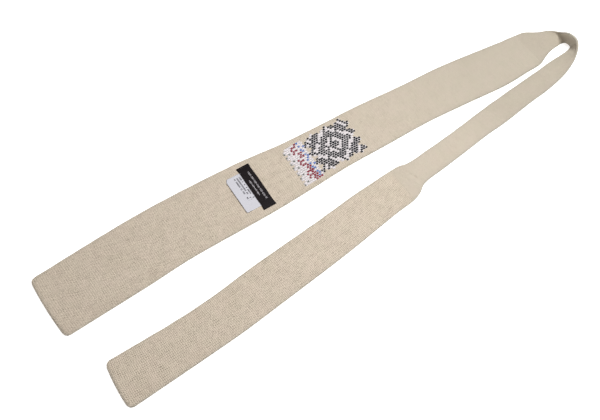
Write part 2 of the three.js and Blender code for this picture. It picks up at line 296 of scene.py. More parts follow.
def knit_piece(name, start, end, pitch, ridge, material, columns=26, samples=4):
    """A closed length of flattened knitted tube. Its courses run across it as low ridges."""
    count = max(3, round((end - start) / pitch * samples))
    s = np.linspace(start, end, count + 1)
    here = Place(s)
    half = thickness_at(s) / 2
    radius = np.minimum(1.15 * half, 0.3 * here.width)
    flat = here.width - 2 * radius
    top_shares = np.linspace(1, 0, columns + 1)
    bottom_shares = np.linspace(0, 1, columns // 2 + 1)
    quarter = PI / 2 * radius

    across, height, round_, angle = [], [], [], []

    def column(d, h, around, turn):
        across.append(d)
        height.append(h)
        round_.append(around)
        angle.append(np.full_like(s, turn))

    for turn in EDGE_ANGLES[3::-1]:
        d = here.width - radius + radius * math.cos(turn)
        column(d, half * math.sin(turn), flat + quarter + radius * (PI / 2 - turn), turn)
    for share in top_shares:
        column(radius + flat * share, half, quarter + flat * share, PI / 2)
    for turn in EDGE_ANGLES:
        d = radius - radius * math.cos(turn)
        column(d, half * math.sin(turn), radius * turn, PI - turn)
    for share in bottom_shares:
        column(radius + flat * share, -half, -quarter - flat * share, -PI / 2)
    for turn in EDGE_ANGLES[:3:-1]:
        d = here.width - radius + radius * math.cos(turn)
        column(d, half * math.sin(turn), -flat - quarter - radius * (PI / 2 + turn), turn)
    d, h, around, turn = (np.stack(x, 1) for x in (across, height, round_, angle))

    rest = here.point(d, h)
    is_top = np.sin(turn) > 0.3
    outward = ridge * 0.5 * (np.cos(2 * PI * s / pitch)[:, None] - 1)
    outward = np.where(is_top, outward + swell(rest), 0.5 * outward)
    points = here.point(d + outward * np.cos(turn), h + outward * np.sin(turn))

    rows, columns_ = d.shape
    faces = grid_faces(rows, columns_, True)
    u = np.repeat(s[:, None], columns_, 1)
    corner_uv = np.stack([u, around], -1).reshape(-1, 2)[faces]
    seam = faces[:, 0] % columns_ == columns_ - 1
    last = (np.repeat(-(flat + 2 * quarter)[:, None], columns_, 1)).reshape(-1)
    corner_uv[seam, 1, 1] = last[faces[seam, 1]]
    corner_uv[seam, 2, 1] = last[faces[seam, 2]]
    # The flat ends have points of their own, so that they don't turn the normals beside them.
    ends = rows * columns_ + np.arange(2 * columns_).reshape(2, columns_)
    caps = [ends[0, ::-1].tolist(), ends[1].tolist()]
    cap_uv = np.stack([u, around], -1)[[0, -1]]
    cap_uv[0] = cap_uv[0, ::-1]
    cap_uv = cap_uv.reshape(-1, 2)
    uv = np.vstack([corner_uv.reshape(-1, 2), cap_uv])
    to_side = np.minimum(d, here.width[:, None] - d)
    from_end = np.minimum(s, TIE_LENGTH - s)[:, None]
    # Closeness to the sides and square ends, for the painted shade that darkens the knit where it
    # rolls over at its edges.
    edge = np.exp(-np.clip(to_side, 0, None) / 1.6) + 0.6 * np.exp(-from_end / 1.8)
    points, edge = (np.concatenate([x, x[[0, -1]]]) for x in (points, np.clip(edge, 0, 1)))
    piece = mesh_object(
        name, points.reshape(-1, 3), faces.tolist() + caps, material, uv, 2, edge
    )
    girth = float((2 * flat + 4 * quarter).mean())
    piece["flat"] = [girth * MM, (end - start) * MM]
    return piece


def tubes(name, centres, side, rise, half_width, half_height, material, ring=8):
    """Many short tapered threads in one mesh. centres, side and rise are (threads, steps, 3)."""
    threads, steps_, _ = centres.shape
    turn = np.linspace(0, 2 * PI, ring, endpoint=False)
    half_width = np.broadcast_to(half_width, (threads, steps_))[:, :, None, None]
    half_height = np.broadcast_to(half_height, (threads, steps_))[:, :, None, None]
    points = centres[:, :, None] + side[:, :, None] * (half_width * np.cos(turn)[:, None])
    points = points + rise[:, :, None] * (half_height * np.sin(turn)[:, None])
    one = grid_faces(steps_, ring, True)
    caps = np.array([np.arange(ring)[::-1], (steps_ - 1) * ring + np.arange(ring)])
    base = np.arange(threads)[:, None, None] * steps_ * ring
    quads = (one[None] + base).reshape(-1, 4)
    ends = (caps[None] + base).reshape(-1, ring)
    corners = points.reshape(threads, -1, 3)
    uv_one = np.stack(
        np.meshgrid(np.linspace(0, 3, steps_), np.linspace(0, 2, ring), indexing="ij"), -1
    ).reshape(-1, 2)
    uv_all = np.tile(uv_one, (threads, 1)) + np.repeat(
        rng.uniform(0, 60, (threads, 2)), steps_ * ring, 0
    )
    uv = np.vstack([uv_all[quads].reshape(-1, 2), uv_all[ends].reshape(-1, 2)])
    return mesh_object(
        name, corners.reshape(-1, 3), quads.tolist() + ends.tolist(), material, uv
    )


# ---- materials -------------------------------------------------------------------------------
def linear(red, green, blue):
    """An 8-bit display colour as linear light."""
    parts = np.array([red, green, blue]) / 255
    low, high = parts / 12.92, ((parts + 0.055) / 1.055) ** 2.4
    return (*np.where(parts <= 0.04045, low, high).tolist(), 1.0)


class Graph:
    """A material's node tree, with short calls for the nodes used here."""

    def __init__(self, name, roughness, specular=0.2, sheen=0.0):
        self.material = bpy.data.materials.new(name)
        self.material.use_nodes = True
        self.tree = self.material.node_tree
        self.tree.nodes.clear()
        self.output = self.tree.nodes.new("ShaderNodeOutputMaterial")
        self.shader = self.tree.nodes.new("ShaderNodeBsdfPrincipled")
        self.shader.inputs["Roughness"].default_value = roughness
        self.shader.inputs["Specular IOR Level"].default_value = specular
        if sheen:
            self.shader.inputs["Sheen Weight"].default_value = sheen
            self.shader.inputs["Sheen Roughness"].default_value = 0.6
        self.tree.links.new(self.shader.outputs[0], self.output.inputs["Surface"])

    def put(self, socket, value):
        if isinstance(value, bpy.types.NodeSocket):
            self.tree.links.new(value, socket)
        elif value is not None:
            socket.default_value = value

    def math(self, operation, *values, clamp=False):
        node = self.tree.nodes.new("ShaderNodeMath")
        node.operation = operation
        node.use_clamp = clamp
        for socket, value in zip(node.inputs, values):
            self.put(socket, value)
        return node.outputs[0]

    def mix(self, share, first, second, blend="MIX"):
        node = self.tree.nodes.new("ShaderNodeMix")
        node.data_type = "RGBA"
        node.blend_type = blend
        self.put(node.inputs["Factor"], share)
        self.put(node.inputs[6], first)
        self.put(node.inputs[7], second)
        return node.outputs[2]

    def noise(self, vector, scale, detail=2.0, roughness=0.5):
        node = self.tree.nodes.new("ShaderNodeTexNoise")
        self.put(node.inputs["Vector"], vector)
        node.inputs["Scale"].default_value = scale
        node.inputs["Detail"].default_value = detail
        node.inputs["Roughness"].default_value = roughness
        return node.outputs["Fac"]

    def between(self, value, low, high):
        """0 below low, 1 above high and smooth between."""
        node = self.tree.nodes.new("ShaderNodeMapRange")
        node.interpolation_type = "SMOOTHSTEP"
        self.put(node.inputs["Value"], value)
        node.inputs["From Min"].default_value = low
        node.inputs["From Max"].default_value = high
        return node.outputs["Result"]

    def strip(self):
        """Distances along and round the piece, in metres, and the vector they come from."""
        node = self.tree.nodes.new("ShaderNodeUVMap")
        node.uv_map = "knit"
        apart = self.tree.nodes.new("ShaderNodeSeparateXYZ")
        self.tree.links.new(node.outputs[0], apart.inputs[0])
        return apart.outputs[0], apart.outputs[1], node.outputs[0]

    def object_place(self):
        return self.tree.nodes.new("ShaderNodeTexCoord").outputs["Object"]

    def scaled(self, vector, x, y, z):
        node = self.tree.nodes.new("ShaderNodeVectorMath")
        node.operation = "MULTIPLY"
        self.put(node.inputs[0], vector)
        node.inputs[1].default_value = (x, y, z)
        return node.outputs[0]

    def bump(self, height, strength, distance, under=None):
        node = self.tree.nodes.new("ShaderNodeBump")
        node.inputs["Strength"].default_value = strength
        node.inputs["Distance"].default_value = distance
        self.put(node.inputs["Height"], height)
        if under is not None:
            self.put(node.inputs["Normal"], under)
        return node.outputs[0]

    def finish(self, colour, normal, roughness=None):
        self.put(self.shader.inputs["Base Color"], colour)
        self.put(self.shader.inputs["Normal"], normal)
        if roughness is not None:
            self.put(self.shader.inputs["Roughness"], roughness)
        return self.material


def knit_material(name, light, pale, dark, course, wale, sway, contrast, depth, calm, fade):
    """Knitted yarn seen from its purl side: courses sway from stitch to stitch, with dark gaps.

    The knit grows smoother between the two distances in fade, down to the share calm, and its
    colour turns from light to pale there: partly the yarn's own tone and partly painted light,
    a change of brightness along the strip that stands in for how the lamps fall on it.
    """
    g = Graph(name, 0.93, 0.12, 0.12)
    u, v, uv = g.strip()
    place = g.object_place()
    smooth_share = g.between(u, *sorted(fade))
    if fade[0] > fade[1]:
        smooth_share = g.math("SUBTRACT", 1.0, smooth_share)
    strength = g.math("SUBTRACT", 1.0, g.math("MULTIPLY", smooth_share, 1 - calm))
    wander = g.math("SUBTRACT", g.noise(uv, 60, 2), 0.5)
    jostle = g.math("SUBTRACT", g.noise(uv, 520, 2), 0.5)
    shift = g.math("ADD", g.math("MULTIPLY", wander, 1.6), g.math("MULTIPLY", jostle, 0.55))
    x = g.math("ADD", g.math("DIVIDE", u, course), shift)
    y = g.math("ADD", g.math("DIVIDE", v, wale), g.math("MULTIPLY", wander, 1.1))
    turn = g.math("SINE", g.math("MULTIPLY", y, 2 * PI))
    swaying = g.math("ADD", x, g.math("MULTIPLY", turn, sway))
    ridge = g.math("ABSOLUTE", g.math("COSINE", g.math("MULTIPLY", swaying, PI)))
    ridge = g.math("POWER", ridge, 1.4)
    stitch = g.math("ABSOLUTE", g.math("COSINE", g.math("MULTIPLY", y, PI)))
    loops = g.math("ADD", g.math("MULTIPLY", ridge, 0.6), g.math("MULTIPLY", stitch, 0.4))
    low = g.math("SUBTRACT", 1.0, ridge)
    gaps = g.math("MULTIPLY", g.math("POWER", low, 1.5), g.math("POWER", stitch, 1.5))
    cell = g.tree.nodes.new("ShaderNodeCombineXYZ")
    g.put(cell.inputs[0], g.math("FLOOR", g.math("ADD", swaying, 0.5)))
    g.put(cell.inputs[1], g.math("FLOOR", y))
    chance = g.tree.nodes.new("ShaderNodeTexWhiteNoise")
    chance.noise_dimensions = "2D"
    g.put(chance.inputs["Vector"], cell.outputs[0])
    gaps = g.math("MULTIPLY", gaps, g.math("ADD", 0.25, chance.outputs["Value"]))
    patchy = g.between(g.noise(uv, 110, 3), 0.3, 0.7)
    gaps = g.math("MULTIPLY", gaps, g.math("ADD", 0.6, g.math("MULTIPLY", patchy, 0.6)))
    fibres = g.noise(place, 2600, 3, 0.7)
    height = g.math("SUBTRACT", loops, g.math("MULTIPLY", gaps, 0.5))
    height = g.math("ADD", g.math("MULTIPLY", height, strength), g.math("MULTIPLY", fibres, 0.5))
    shade = g.math("MULTIPLY", g.math("SUBTRACT", 1.0, loops), contrast)
    shade = g.math("ADD", shade, g.math("MULTIPLY", gaps, contrast * 2.2))
    shade = g.math("MULTIPLY", shade, strength, clamp=True)
    # The mix from light to pale along the strip is partly the yarn's own tone and partly painted
    # light.
    colour = g.mix(shade, g.mix(smooth_share, light, pale), dark)
    warm = g.math("MULTIPLY", g.between(g.noise(place, 900, 2), 0.45, 0.8), 0.5)
    colour = g.mix(warm, colour, (1.0, 0.96, 0.92, 1.0), "MULTIPLY")
    streak = g.noise(g.scaled(uv, 420, 60, 1), 1.0, 2)
    cool = g.math("MULTIPLY", g.between(streak, 0.45, 0.75), 0.6)
    colour = g.mix(cool, colour, (0.945, 0.96, 0.945, 1.0), "MULTIPLY")
    blotch = g.between(g.noise(place, 26, 3), 0.4, 0.8)
    colour = g.mix(blotch, colour, (0.965, 0.96, 0.95, 1.0), "MULTIPLY")
    tint = g.between(g.noise(place, 75, 2), 0.35, 0.65)
    colour = g.mix(tint, colour, (0.985, 1.0, 0.985, 1.0), "MULTIPLY")
    # Painted shade: the knit is darkened to a cool grey along its rolled edges and near its square
    # ends.
    edge = g.tree.nodes.new("ShaderNodeAttribute")
    edge.attribute_name = "edge"
    colour = g.mix(edge.outputs["Fac"], colour, (0.84, 0.87, 0.88, 1.0), "MULTIPLY")
    return g.finish(colour, g.bump(height, 0.9, depth))


# Tones of the knit. The change of tone along the strip is partly the yarn's own and partly painted
# light: the lighter tone of the neck's lower run stands in for brighter light there.
OATMEAL = linear(218, 204, 187)
OATMEAL_PALE = linear(188, 178, 163)
OATMEAL_LOWER_RUN_LIT = linear(198, 187, 172)
OATMEAL_DARK = linear(126, 115, 98)


def yarn_material(name, colour, dark, roughness=0.95):
    """One coloured yarn, with a twist and loose fibres."""
    g = Graph(name, roughness, 0.12, 0.2)
    u, v, uv = g.strip()
    place = g.object_place()
    twist = g.math("SINE", g.math("MULTIPLY", g.math("ADD", u, v), 2 * PI / 0.0011))
    fibres = g.noise(place, 3200, 3, 0.7)
    height = g.math("ADD", g.math("MULTIPLY", twist, 0.3), fibres)
    shade = g.math("MULTIPLY", g.between(fibres, 0.35, 0.75), 0.5)
    blotch = g.math("MULTIPLY", g.between(g.noise(place, 500, 2), 0.4, 0.8), 0.4)
    tone = g.mix(g.math("MAXIMUM", shade, blotch), colour, dark)
    return g.finish(tone, g.bump(height, 0.7, 0.0002))


blade_knit = knit_material("blade knit", OATMEAL, OATMEAL_PALE, OATMEAL_DARK, 0.0023, 0.0021,
                           0.3, 0.33, 0.00045, 0.3, (0.25, 0.60))
tail_knit = knit_material("tail blade knit", OATMEAL, OATMEAL_PALE, OATMEAL_DARK, 0.0019,
                          0.0028, 0.2, 0.33, 0.00045, 0.3,
                          ((tail_join + 7) * MM, (tail_join - 3) * MM))
# The neck band turns lighter along its lower run: painted light.
neck_knit = knit_material("neck band knit", OATMEAL_PALE, OATMEAL_LOWER_RUN_LIT, OATMEAL_DARK, 0.0013,
                          0.0012, 0.12, 0.16, 0.0002, 0.9, (0.84, 0.95))
link_yarn = yarn_material("linking yarn", linear(196, 186, 170), linear(164, 152, 135))
pale_yarn = yarn_material("pale motif yarn", linear(224, 219, 221), linear(196, 187, 184))
navy_yarn = yarn_material("dark blue motif yarn", linear(24, 27, 33), linear(10, 11, 15))
red_yarn = yarn_material("red motif yarn", linear(142, 42, 62), linear(104, 22, 42))
blue_yarn = yarn_material("blue motif yarn", linear(96, 124, 184), linear(62, 86, 150))
grey_yarn = yarn_material("grey motif yarn", linear(118, 122, 116), linear(84, 88, 82))


def ribbon_material():
    """Black damask ribbon: fine ribs across and a faint sheen."""
    g = Graph("black woven ribbon", 0.62, 0.12)
    u, v, uv = g.strip()
    place = g.object_place()
    rib = g.math("SINE", g.math("MULTIPLY", u, 2 * PI / 0.00045))
    warp = g.math("SINE", g.math("MULTIPLY", v, 2 * PI / 0.0006))
    weave = g.math("MULTIPLY", rib, g.math("ADD", 1.0, g.math("MULTIPLY", warp, 0.4)))
    fibres = g.noise(place, 1500, 2)
    height = g.math("ADD", g.math("MULTIPLY", weave, 0.5), fibres)
    tone = g.mix(g.between(fibres, 0.3, 0.8), linear(19, 14, 16), linear(31, 25, 27))
    rough = g.math("ADD", 0.45, g.math("MULTIPLY", fibres, 0.25))
    return g.finish(tone, g.bump(height, 0.5, 0.0001), rough)


def satin_material():
    """White satin tape with rows of plain printed blocks, left out here and there at random."""
    g = Graph("white satin tape", 0.45, 0.3)
    u, v, uv = g.strip()
    place = g.object_place()
    rib = g.math("SINE", g.math("MULTIPLY", u, 2 * PI / 0.0004))
    fibres = g.noise(place, 1800, 2)
    row = g.math("DIVIDE", v, 0.0031)
    block = g.math("DIVIDE", u, 0.0015)
    row_number, block_number = g.math("FLOOR", row), g.math("FLOOR", block)
    cell = g.tree.nodes.new("ShaderNodeCombineXYZ")
    g.put(cell.inputs[0], block_number)
    g.put(cell.inputs[1], row_number)
    chance = g.tree.nodes.new("ShaderNodeTexWhiteNoise")
    chance.noise_dimensions = "2D"
    g.put(chance.inputs["Vector"], cell.outputs[0])
    off_row = g.math("ABSOLUTE", g.math("SUBTRACT", g.math("FRACT", row), 0.5))
    off_block = g.math("ABSOLUTE", g.math("SUBTRACT", g.math("FRACT", block), 0.5))
    mark = g.math("MULTIPLY", g.math("LESS_THAN", off_row, 0.3),
                  g.math("LESS_THAN", off_block, 0.38))
    mark = g.math("MULTIPLY", mark, g.math("GREATER_THAN", chance.outputs["Value"], 0.36))
    inside = g.math("MULTIPLY", g.math("GREATER_THAN", u, 0.013),
                    g.math("LESS_THAN", u, 0.046))
    inside = g.math("MULTIPLY", inside, g.math("LESS_THAN", v, 0.0124))
    ink = g.math("MULTIPLY", g.math("MULTIPLY", mark, inside),
                 g.math("ADD", 0.5, g.math("MULTIPLY", chance.outputs["Value"], 0.5)))
    base = g.mix(g.between(fibres, 0.3, 0.8), linear(200, 200, 206), linear(190, 190, 198))
    tone = g.mix(ink, base, linear(48, 46, 52))
    height = g.math("ADD", g.math("MULTIPLY", rib, 0.3), fibres)
    return g.finish(tone, g.bump(height, 0.35, 0.00008))


ribbon, satin = ribbon_material(), satin_material()
thread = yarn_material("black sewing thread", linear(26, 22, 26), linear(14, 12, 15), 0.7)
woven_mark = yarn_material("pale woven mark", linear(192, 188, 192), linear(150, 146, 152))

# ---- the knitted strip -----------------------------------------------------------------------
COURSE, TAIL_COURSE, NECK_COURSE = 2.3, 1.9, 1.3
END_START = 0.3


def distance_at_x(x, front_run):
    """Distance along the tie at which its middle line passes x, on the front or the tail run."""
    turn = int(np.argmax(middle_fine[:, 0]))
    if front_run:
        return float(np.interp(x, middle_fine[:turn, 0], length_fine[:turn]))
    return float(np.interp(-x, -middle_fine[turn:, 0], length_fine[turn:]))


def plan(x, y, z=1.6):
    """A place in the strip's millimetres as a point of the row frame, in metres."""
    return tuple((np.array([x, y, z]) - ORIGIN) * MM)


# The neck band's pieces meet half way down a ridge, where the slope is even and nothing shows.
front_split, tail_split, lower_split = (
    (round(distance_at_x(x, front_run) / NECK_COURSE) + 0.25) * NECK_COURSE
    for x, front_run in ((670, True), (622, False), (500, False))
)

front_blade = knit_piece("front_blade_knit", END_START, front_join, COURSE, 0.08, blade_knit)
neck_lengths = [
    ("neck_band_front", front_join, front_split),
    ("neck_band_fold", front_split, tail_split),
    ("neck_band_back", tail_split, back_join),
    ("neck_band_middle", back_join, lower_split),
    ("neck_band_tail", lower_split, tail_join),
]
neck_bands = [
    knit_piece(name, start, end, NECK_COURSE, 0.03, neck_knit, samples=3)
    for name, start, end in neck_lengths
]
front_band, fold_band, back_band, middle_band, tail_band = neck_bands
tail_blade = knit_piece("tail_blade_knit", tail_join, TIE_LENGTH - END_START, TAIL_COURSE, 0.07,
                        tail_knit)

FRONT_ZONE = plan(641, 21), plan(658, 21)
BACK_ZONE = plan(556, -38.3), plan(540, -41.1)
TAIL_ZONE = plan(409, -62.7), plan(393, -64.8)


for piece in (front_blade, front_band):
    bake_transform(piece)
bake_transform(fold_band)
for piece in (back_band, middle_band):
    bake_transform(piece)
for piece in (tail_band, tail_blade):
    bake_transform(piece)
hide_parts("front_blade")
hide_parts("neck_band_front_side")
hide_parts("neck_band_front_side", "neck_band_tail_side")
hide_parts("neck_band_tail_side")
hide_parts("neck_band_lower")
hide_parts("neck_band_lower")
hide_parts("tail_blade")


# ---- linking loops ---------------------------------------------------------------------------
def end_links(name, is_tail, pitch=1.9):
    """Loops of yarn that wrap over a square end, side by side."""
    reach = np.array([3.3, 2.6, 1.7, 0.9, 0.35, 0.0, 0.35, 0.9, 1.7, 2.6, 3.3])
    side_of = np.array([1, 1, 1, 1, 1, 0, -1, -1, -1, -1, -1])
    s = TIE_LENGTH - reach if is_tail else reach
    here = Place(s)
    count = round(here.full[0] / pitch)
    share = (np.arange(count) + 0.5) / count
    h = side_of * (thickness_at(s) / 2 + 0.08)
    centres = here.point(here.width[:, None] * share[None], np.repeat(h[:, None], count, 1))
    centres = centres.transpose(1, 0, 2)
    away = here.heading if is_tail else -here.heading
    centres = centres + away[None] * (0.25 * (side_of == 0))[None, :, None]
    ahead = unit(np.gradient(centres, axis=1))
    side = np.broadcast_to(unit(here.across)[None], centres.shape)
    rise = unit(np.cross(ahead, side))
    taper = np.array([0.35, 0.8, 1, 1, 1, 1, 1, 1, 1, 0.8, 0.35])
    wide = 0.38 * pitch * taper * (here.width / here.full)
    return tubes(name, centres, side, rise, wide[None], 0.42 * taper[None], link_yarn)


def join_links(name, distance, pitch=2.0):
    """Small loops of yarn across a join, in its groove."""
    s = distance + np.array([-1.5, -0.8, 0, 0.8, 1.5])
    here = Place(s)
    count = int((here.width[2] - 3) / pitch)
    share = (np.arange(count) + 0.5) / count
    half = thickness_at(s) / 2
    lean = np.array([-0.35, -0.2, 0, 0.2, 0.35])[:, None]
    d = 1.5 + (here.width[:, None] - 3) * share[None] + lean
    h = half[:, None] + swell(here.point(d, 0 * d))
    h = h + np.array([-0.17, -0.12, -0.1, -0.12, -0.17])[:, None]
    centres = here.point(d, h).transpose(1, 0, 2)
    ahead = unit(np.gradient(centres, axis=1))
    side = np.broadcast_to(unit(here.across)[None], centres.shape)
    rise = unit(np.cross(side, ahead))
    taper = np.array([0.4, 0.85, 1, 0.85, 0.4])
    return tubes(name, centres, side, rise, 0.5 * taper[None], 0.2 * taper[None], link_yarn)


front_end = end_links("front_end_links", False)
tail_end = end_links("tail_end_links", True)
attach(front_end, "front_blade")
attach(tail_end, "tail_blade")
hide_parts("front_end_linking")
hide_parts("tail_end_linking")
joins = [
    ("front_join_links", front_join, "front_join_linking", "front_blade", "neck_front", FRONT_ZONE),
    ("back_join_links", back_join, "back_join_linking", "neck_back", "neck_lower", BACK_ZONE),
    ("tail_join_links", tail_join, "tail_join_linking", "neck_lower", "tail_blade", TAIL_ZONE),
]
for name, distance, node, first, second, zone in joins:
    links = join_links(name, distance)
    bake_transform(links)
    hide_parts(node)

# ---- the motif -------------------------------------------------------------------------------
STITCH_ALONG, STITCH_ACROSS = 3.3, 2.65
BAND_COLUMNS, PANEL_COLUMNS, MOTIF_ROWS = 8, 19, 21
motif_start = distance_at_x(304, True)
middle_width = Place([distance_at_x(350, True)]).width[0]


def wave(k, period, size):
    """A triangle wave over whole numbers, from 0 to size."""
    return size * abs(k % period - period / 2) / (period / 2)


def motif_colours():
    """Each stitch's yarn, as a letter: generic bands of colour beside nested lozenges."""
    columns = BAND_COLUMNS + PANEL_COLUMNS
    chart = np.full((columns, MOTIF_ROWS), ".")
    for i in range(columns):
        for j in range(MOTIF_ROWS):
            if i < BAND_COLUMNS:
                chart[i, j] = band_colour(i, j)
                continue
            x = i - BAND_COLUMNS - (PANEL_COLUMNS - 1) / 2
            y = j - (MOTIF_ROWS - 1) / 2
            high = 10.4 - wave(i + 3, 6, 1.8)
            wide = 9.4 - wave(j + 1, 5, 1.5)
            if abs(y) > high or abs(x) > wide:
                continue
            ring = abs(x) + abs(y) * 0.8
            is_line = 2.5 < ring < 3.7 or 7.3 < ring < 8.7 or 12.5 < ring < 13.5
            chart[i, j] = "w" if is_line else "n"
    return chart


def band_colour(i, j):
    """A grey stipple row, a red zigzag two stitches wide and a blue line on a pale ground."""
    zigzag = 2.5 + wave(j, 7, 1.8)
    reach = 1.5 + max(0, 9 - j) / 5
    if i == 0 and j % 3 == 2:
        return "."
    if i == 0 and j % 2 == 0 or i == 1 and j % 4 == 1:
        return "g"
    if zigzag - 0.6 <= i <= zigzag + reach and (i + 2 * j) % 4 != 0:
        return "r"
    if i == round(5.6 + wave(j + 3, 5, 1.2)) and j % 5 != 4:
        return "b"
    return "w"


chart = motif_colours()


def motif_stitches(name, letter, material, size=1.0):
    """Every stitch of one colour, each a short raised loop lying along the blade."""
    columns, rows = np.nonzero(chart == letter)
    jitter = rng.normal(0, 0.1, (len(columns), 2))
    s = motif_start + (columns + 0.5 + 0.5 * (rows % 2)) * STITCH_ALONG + jitter[:, 0]
    d0 = middle_width / 2 + (rows - (chart.shape[1] - 1) / 2) * STITCH_ACROSS + jitter[:, 1]
    steps_along = np.array([-1, -0.75, 0, 0.75, 1]) * 0.47 * STITCH_ALONG * size
    heights = np.array([-0.12, 0.1, 0.2, 0.1, -0.12])
    taper = np.array([0.5, 0.95, 1, 0.95, 0.5])
    centres, sides, rises = [], [], []
    for k in range(5):
        here = Place(s + steps_along[k])
        d = d0[:, None]
        h = (thickness_at(here.s) / 2 + heights[k])[:, None] + swell(here.point(d, 0 * d))
        centres.append(here.point(d, h)[:, 0])
        sides.append(unit(here.across))
        rises.append(here.up)
    centres, sides, rises = (np.stack(x, 1) for x in (centres, sides, rises))
    wide = 0.44 * STITCH_ACROSS * size * taper * rng.uniform(0.88, 1.08, (len(s), 1))
    return tubes(name, centres, sides, rises, wide, 0.3 * taper[None], material)


def motif_ground():
    """The pale yarn's own layer under its stitches, cut to the stitches' stepped outline."""
    columns, rows = np.nonzero(chart != ".")
    corners = []
    for di, dj in ((0, 0), (1, 0), (1, 1), (0, 1)):
        s = motif_start + (columns + di + 0.25) * STITCH_ALONG
        d = middle_width / 2 + (rows + dj - chart.shape[1] / 2) * STITCH_ACROSS
        here = Place(s)
        half = thickness_at(here.s) / 2
        corners.append([here.point(d[:, None], (half + z)[:, None])[:, 0] for z in (-0.3, 0.1)])
    corners = np.array(corners).transpose(2, 1, 0, 3)
    points = corners.reshape(-1, 3)
    box = np.array([[0, 3, 2, 1], [4, 5, 6, 7], [0, 1, 5, 4], [1, 2, 6, 5], [2, 3, 7, 6],
                    [3, 0, 4, 7]])
    faces = (box[None] + 8 * np.arange(len(columns))[:, None, None]).reshape(-1, 4)
    uv = (points[:, :2])[faces].reshape(-1, 2)
    return mesh_object("motif_ground_layer", points, faces.tolist(), pale_yarn, uv)


motif_parts = [
    (motif_ground(), "motif_ground_yarn", "pale_yarn"),
    (motif_stitches("motif_pale_stitches", "w", pale_yarn), "motif_ground_yarn", "pale_yarn"),
    (motif_stitches("motif_navy_stitches", "n", navy_yarn), "motif_navy_yarn", "navy_yarn"),
    (motif_stitches("motif_red_stitches", "r", red_yarn), "motif_red_yarn", "red_yarn"),
    (motif_stitches("motif_blue_stitches", "b", blue_yarn), "motif_blue_yarn", "blue_yarn"),
    (motif_stitches("motif_grey_stitches", "g", grey_yarn, 0.8), "motif_grey_yarn", "grey_yarn"),
]
for piece, node, slot in motif_parts:
    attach(piece, "front_blade")
    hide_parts(node)

# ---- the labels ------------------------------------------------------------------------------
LABEL_AT, LABEL_TURN = np.array([256.6, 18.4]), math.radians(1.8)
LABEL_LENGTH, LABEL_WIDTH = 62.4, 15.3
BLADE_TOP = THICKNESS + 0.1
CARE_REACH, CARE_TUCK, CARE_HALF = 18.3, 2.5, 25.0


def label_points(x, y, z):
    """Points of the label's own frame: x across it, y along it and z above the blade."""
    c, s = math.cos(LABEL_TURN), math.sin(LABEL_TURN)
    return np.stack([LABEL_AT[0] + c * x - s * y, LABEL_AT[1] + s * x + c * y, BLADE_TOP + z], -1)


def sheet_piece(name, x, y, z, thickness, material, extra=None):
    """A thin closed sheet through the grid x, y, z of the label's frame."""
    rows, columns = x.shape
    top, under = label_points(x, y, z + thickness), label_points(x, y, z)
    points = np.concatenate([top.reshape(-1, 3), under.reshape(-1, 3)])
    up = grid_faces(rows, columns, False)
    down = up[:, ::-1] + rows * columns
    border = np.r_[
        np.arange(columns),
        np.arange(2, rows + 1) * columns - 1,
        rows * columns - 2 - np.arange(columns - 1),
        np.arange(rows - 2, 0, -1) * columns,
    ]
    following = np.roll(border, -1)
    rim = np.stack([following, border, border + rows * columns, following + rows * columns], -1)
    faces = np.vstack([up, down, rim])
    flat_uv = np.stack([y - y.min(), x.max() - x], -1).reshape(-1, 2)
    uv = np.concatenate([flat_uv, flat_uv])[faces.ravel()]
    return mesh_object(name, points, faces.tolist(), material, uv)


def woven_label_grid(columns=18, rows=90):
    y = np.linspace(-LABEL_LENGTH / 2, LABEL_LENGTH / 2, rows)[:, None]
    x = np.linspace(-0.5, 0.5, columns)[None]
    from_end = LABEL_LENGTH / 2 - np.abs(y)
    flare = 1 + 0.05 * np.exp(-((from_end / 3) ** 2)) - 0.03 * np.exp(-(((from_end - 9) / 7) ** 2))
    x = x * LABEL_WIDTH * flare + 0.35 * np.sin(y / LABEL_LENGTH * PI * 1.2)
    z = 0.25 + 0.55 * (1 - np.exp(-((from_end / 6) ** 2)))
    z = z + 0.12 * np.sin(y / 7 + x / 6) + 0.1 * np.cos(x / 3.3 + y / 15)
    return x, np.broadcast_to(y, x.shape), z


label_x, label_y, label_z = woven_label_grid()
woven_label = sheet_piece("woven_label_ribbon", label_x, label_y, label_z, 0.45, ribbon)


def end_shift(side):
    """How far the label's gentle bow has moved it across at one end."""
    return 0.35 * math.sin(side * PI * 0.6)


def folded_end(name, side):
    """The ribbon turned under at one end, with its rounded fold."""
    rows, columns = 9, 18
    turn = np.linspace(PI / 2, -PI / 2, rows)[:, None]
    x = np.linspace(-0.5, 0.5, columns)[None] * LABEL_WIDTH * 1.045
    turned_under = np.array([[2.0], [4.0]])
    y = np.vstack([LABEL_LENGTH / 2 - 0.05 + 0.36 * np.cos(turn), LABEL_LENGTH / 2 - turned_under])
    z = np.vstack([0.34 + 0.34 * np.sin(turn), np.full((2, 1), 0.02)])
    x, y, z = np.broadcast_arrays(x + end_shift(side), side * y, z)
    order = slice(None) if side < 0 else slice(None, None, -1)
    return sheet_piece(name, x[order], y[order], z[order], 0.05, ribbon)


def tack(name, side):
    """A row of small machine stitches across the label's end."""
    count = 9
    x = np.linspace(-6.2, 6.2, count)
    y = side * (LABEL_LENGTH / 2 - 2)
    share = np.array([-1, -0.6, 0, 0.6, 1])
    px = x[:, None] + share[None] * 0.62 + end_shift(side)
    py = y + 0.12 * share[None] + 0 * px
    pz = np.broadcast_to(0.9 + np.array([-0.12, 0, 0.05, 0, -0.12]), px.shape)
    centres = label_points(px, py, pz)
    side_way = np.broadcast_to(np.array([0.0, 1.0, 0.0]), centres.shape)
    rise = np.broadcast_to(np.array([0.0, 0.0, 1.0]), centres.shape)
    taper = np.array([0.4, 0.9, 1, 0.9, 0.4])
    return tubes(name, centres, side_way, rise, 0.2 * taper[None], 0.14 * taper[None], thread)


